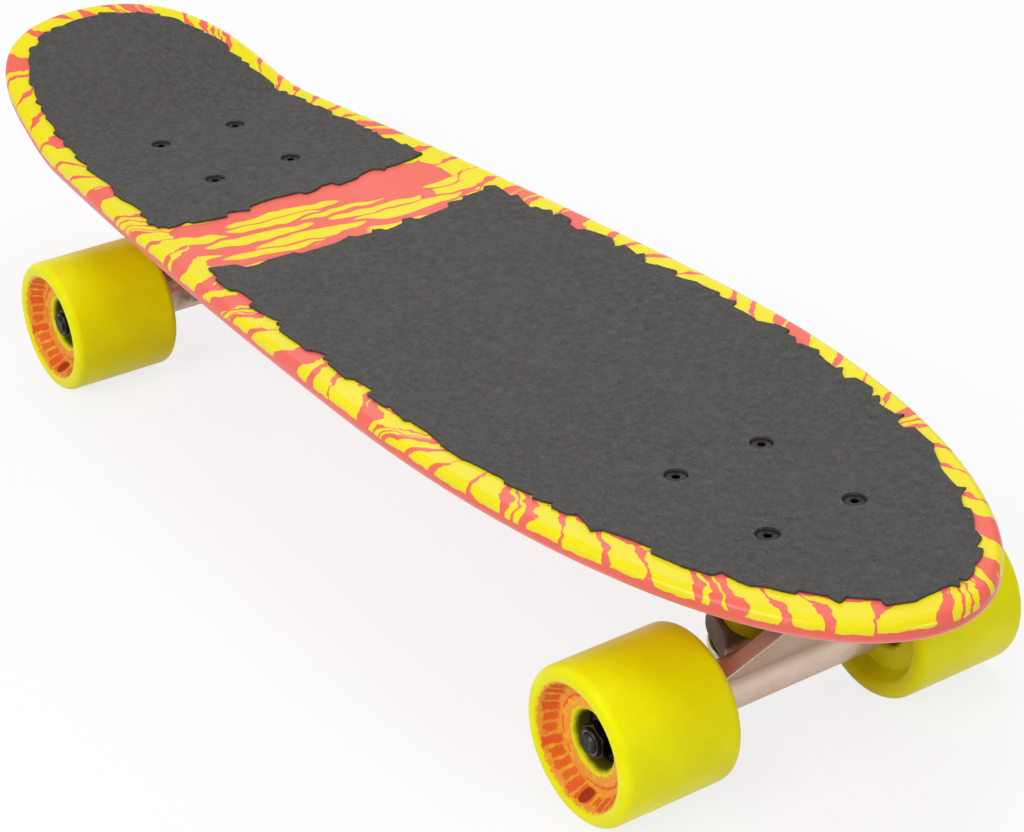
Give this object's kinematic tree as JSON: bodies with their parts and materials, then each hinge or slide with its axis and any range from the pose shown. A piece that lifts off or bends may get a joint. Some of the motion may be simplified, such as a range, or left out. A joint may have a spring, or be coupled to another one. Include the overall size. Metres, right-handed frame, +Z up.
{
  "type": "cruiser skateboard",
  "caption": "Cruiser skateboard: pressed deck with kicktail and grip sheets, kingpin trucks that steer on urethane bushings, risers, and free-rolling wheels on sealed bearings.",
  "frame": {"origin": "on the ground, under the middle of the board's length and of its width", "axes": "+X runs along the board to its nose, +Y to the left of a rider who faces the nose, +Z up"},
  "size_m": [0.669, 0.1938, 0.1317],
  "materials": {
    "coral_paint": "pressed ply in satin coral paint, its rim printed with yellow blocks",
    "grit": "charcoal abrasive grip sheet",
    "black_plastic": "moulded, satin",
    "cast_aluminium": "raw casting, tumbled to a soft polish",
    "yellow_urethane": "cast urethane, satin",
    "wheel_urethane": "cast urethane, satin, with a print on its dished face",
    "steel": "zinc plated",
    "dark_steel": "blackened",
    "black_steel": "black oxide"
  },
  "bodies": {
    "board": {"deck": "coral_paint", "grip_tail": "grit", "grip_main": "grit", "riser_front": "black_plastic", "riser_rear": "black_plastic", "baseplate_front": "cast_aluminium", "baseplate_rear": "cast_aluminium", "pivot_cup_front": "yellow_urethane", "pivot_cup_rear": "yellow_urethane", "kingpin_front": "steel", "kingpin_rear": "steel", "kingpin_nut_front": "steel", "kingpin_nut_rear": "steel", "washer_upper_front": "steel", "washer_upper_rear": "steel", "washer_lower_front": "steel", "washer_lower_rear": "steel", "bushing_upper_front": "yellow_urethane", "bushing_upper_rear": "yellow_urethane", "bushing_lower_front": "yellow_urethane", "bushing_lower_rear": "yellow_urethane", "deck_bolt_front_1": "black_steel", "deck_bolt_front_2": "black_steel", "deck_bolt_front_3": "black_steel", "deck_bolt_front_4": "black_steel", "deck_bolt_rear_1": "black_steel", "deck_bolt_rear_2": "black_steel", "deck_bolt_rear_3": "black_steel", "deck_bolt_rear_4": "black_steel", "deck_nut_front_1": "black_steel", "deck_nut_front_2": "black_steel", "deck_nut_front_3": "black_steel", "deck_nut_front_4": "black_steel", "deck_nut_rear_1": "black_steel", "deck_nut_rear_2": "black_steel", "deck_nut_rear_3": "black_steel", "deck_nut_rear_4": "black_steel"},
    "front_truck": {"hanger_front": "cast_aluminium", "axle_front": "steel", "axle_nut_front_left": "dark_steel", "axle_nut_front_right": "dark_steel"},
    "rear_truck": {"hanger_rear": "cast_aluminium", "axle_rear": "steel", "axle_nut_rear_left": "dark_steel", "axle_nut_rear_right": "dark_steel"},
    "front_left_wheel": {"wheel_front_left": "wheel_urethane", "bearing_outer_front_left": "dark_steel", "bearing_inner_front_left": "dark_steel"},
    "front_right_wheel": {"wheel_front_right": "wheel_urethane", "bearing_outer_front_right": "dark_steel", "bearing_inner_front_right": "dark_steel"},
    "rear_left_wheel": {"wheel_rear_left": "wheel_urethane", "bearing_outer_rear_left": "dark_steel", "bearing_inner_rear_left": "dark_steel"},
    "rear_right_wheel": {"wheel_rear_right": "wheel_urethane", "bearing_outer_rear_right": "dark_steel", "bearing_inner_rear_right": "dark_steel"}
  },
  "joints": [
    {"name": "steer_front", "type": "hinge", "parent": "board", "child": "front_truck", "pos_m": [0.2204, 0, 0.03915], "axis": [0.8033, 0, 0.5956], "range_deg": [-15, 15], "stiffness_Nm_per_rad": 50, "deforming": ["bushing_upper_front", "bushing_lower_front"]},
    {"name": "steer_rear", "type": "hinge", "parent": "board", "child": "rear_truck", "pos_m": [-0.1714, 0, 0.03915], "axis": [-0.8033, 0, 0.5956], "range_deg": [-15, 15], "stiffness_Nm_per_rad": 50, "deforming": ["bushing_upper_rear", "bushing_lower_rear"]},
    {"name": "roll_front_left", "type": "hinge", "parent": "front_truck", "child": "front_left_wheel", "pos_m": [0.2411, 0.0699, 0.03175], "axis": [0, 1, 0], "continuous": true},
    {"name": "roll_front_right", "type": "hinge", "parent": "front_truck", "child": "front_right_wheel", "pos_m": [0.2411, -0.0699, 0.03175], "axis": [0, 1, 0], "continuous": true},
    {"name": "roll_rear_left", "type": "hinge", "parent": "rear_truck", "child": "rear_left_wheel", "pos_m": [-0.1921, 0.0699, 0.03175], "axis": [0, 1, 0], "continuous": true},
    {"name": "roll_rear_right", "type": "hinge", "parent": "rear_truck", "child": "rear_right_wheel", "pos_m": [-0.1921, -0.0699, 0.03175], "axis": [0, 1, 0], "continuous": true}
  ]
}
